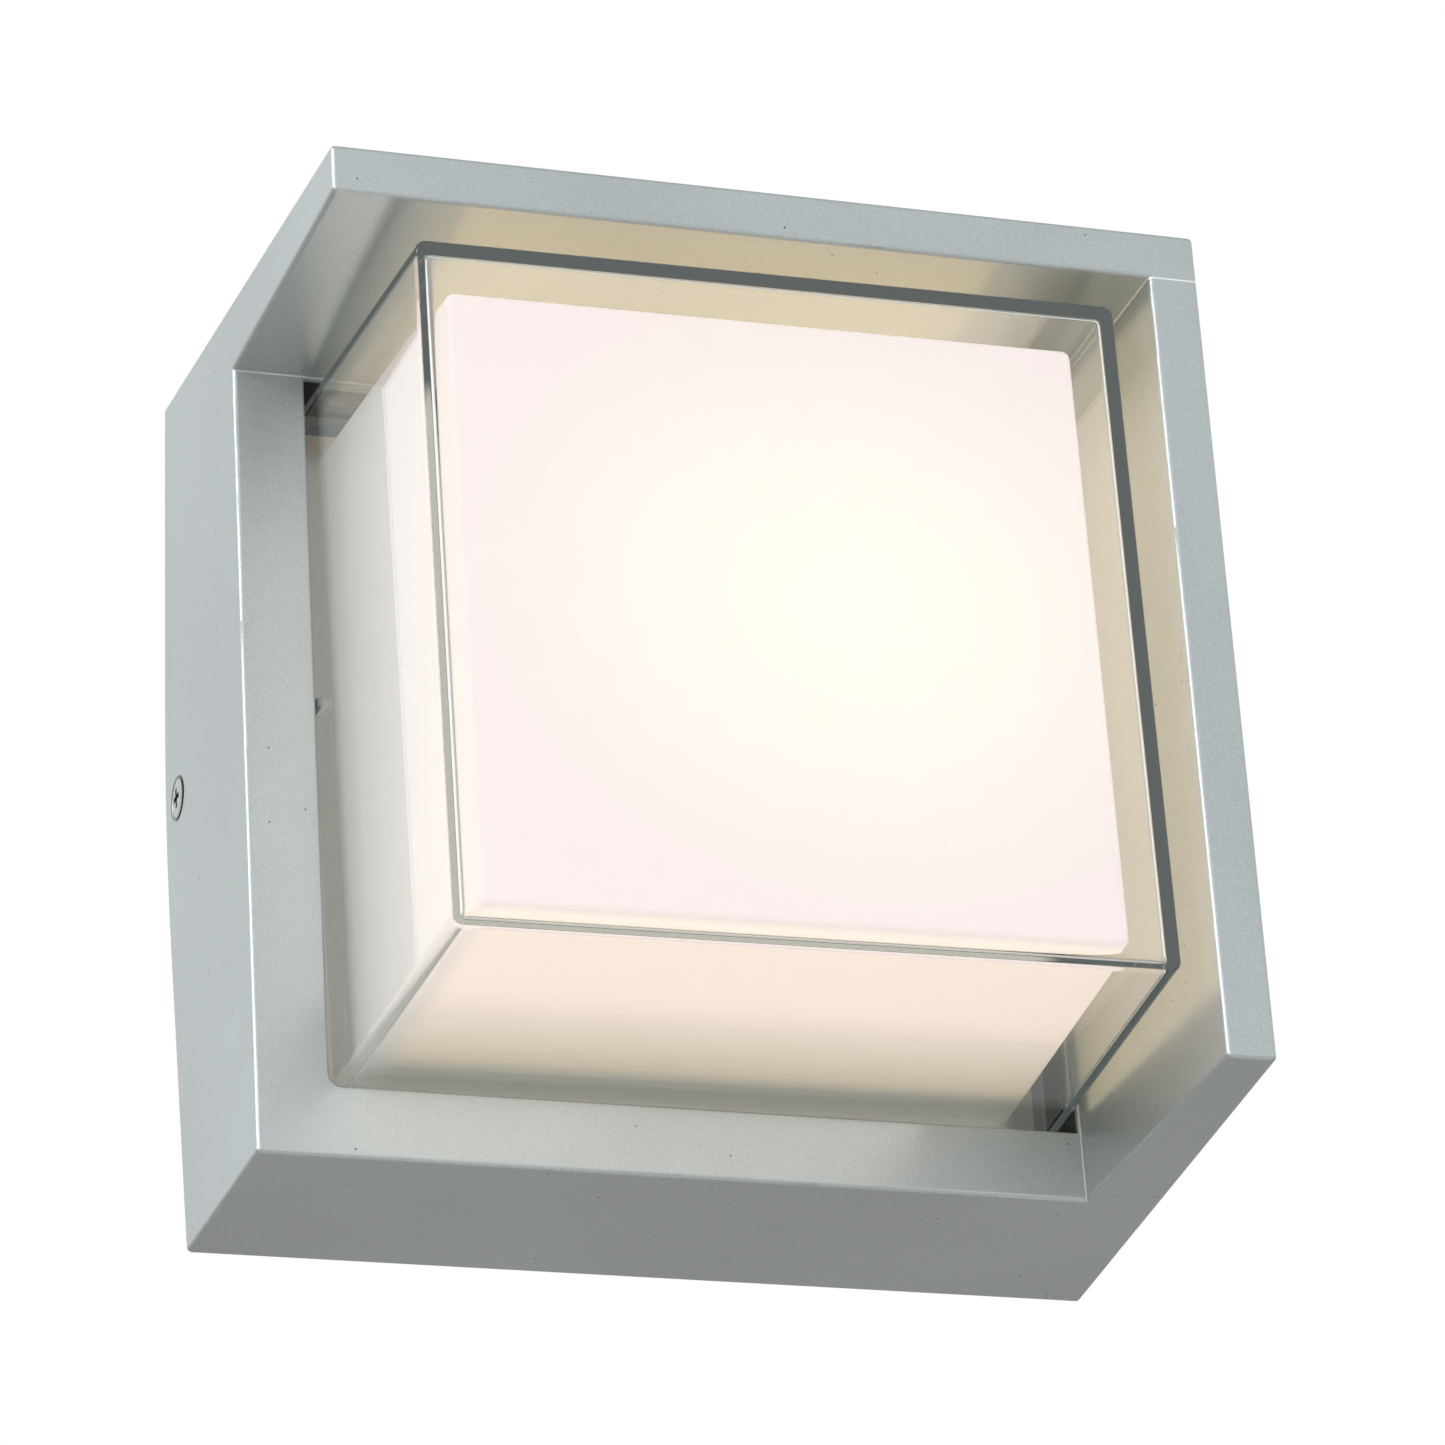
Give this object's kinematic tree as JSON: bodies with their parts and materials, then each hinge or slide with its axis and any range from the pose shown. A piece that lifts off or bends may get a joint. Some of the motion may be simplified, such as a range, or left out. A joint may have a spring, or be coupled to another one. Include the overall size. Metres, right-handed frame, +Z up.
{
  "type": "outdoor wall lantern",
  "caption": "Square silver wall lantern: a glowing opal box inside a clear cover, sheltered by a deep hood wall on the top and right, with low rails at the left and bottom.",
  "frame": {"origin": "on the wall plane, midway between the two junction-box slots, which is the middle of the square housing's rear", "axes": "+X to the right seen from the front, +Y into the wall (the light faces -Y), +Z up"},
  "size_m": [0.1784, 0.1195, 0.178],
  "materials": {
    "frame_paint": "metallic silver paint, satin",
    "silicone_seal": "matt silicone",
    "clear_acrylic": "clear, polished",
    "opal_acrylic": "opal, satin, lit from inside",
    "white_steel": "white powder coat",
    "thermal_pad": "soft filled silicone",
    "board_white": "white solder mask",
    "chip_phosphor": "phosphor in a white package",
    "connector_plastic": "moulded",
    "black_rubber": "moulded",
    "lead_red": "silicone insulation",
    "lead_black": "silicone insulation",
    "driver_plastic": "fine texture",
    "board_green": "solder mask",
    "ferrite": "sintered, with yellow tape",
    "capacitor_can": "sleeved can",
    "zinc_plate": "bright zinc plating",
    "painted_screw": "silver finish to match the frame",
    "zinc_screw": "zinc plated",
    "ground_green": "green dye",
    "washer_brass": "plain"
  },
  "bodies": {
    "root": {"front_frame": "frame_paint", "cover_gasket": "silicone_seal", "clear_cover": "clear_acrylic", "opal_diffuser": "opal_acrylic", "led_tray": "white_steel", "thermal_pad": "thermal_pad", "led_board": "board_white", "led_chips": "chip_phosphor", "board_connector": "connector_plastic", "lead_grommet": "black_rubber", "lead_positive": "lead_red", "lead_negative": "lead_black", "driver_lid": "driver_plastic", "driver_case": "driver_plastic", "supply_bush": "black_rubber", "driver_board": "board_green", "driver_transformer": "ferrite", "driver_capacitors": "capacitor_can", "wall_plate": "zinc_plate", "left_side_screw": "painted_screw", "right_side_screw": "painted_screw", "tray_screws": "zinc_screw", "board_screws": "zinc_screw", "driver_screws": "zinc_screw", "ground_screw": "ground_green", "ground_washer": "washer_brass"}
  },
  "joints": []
}
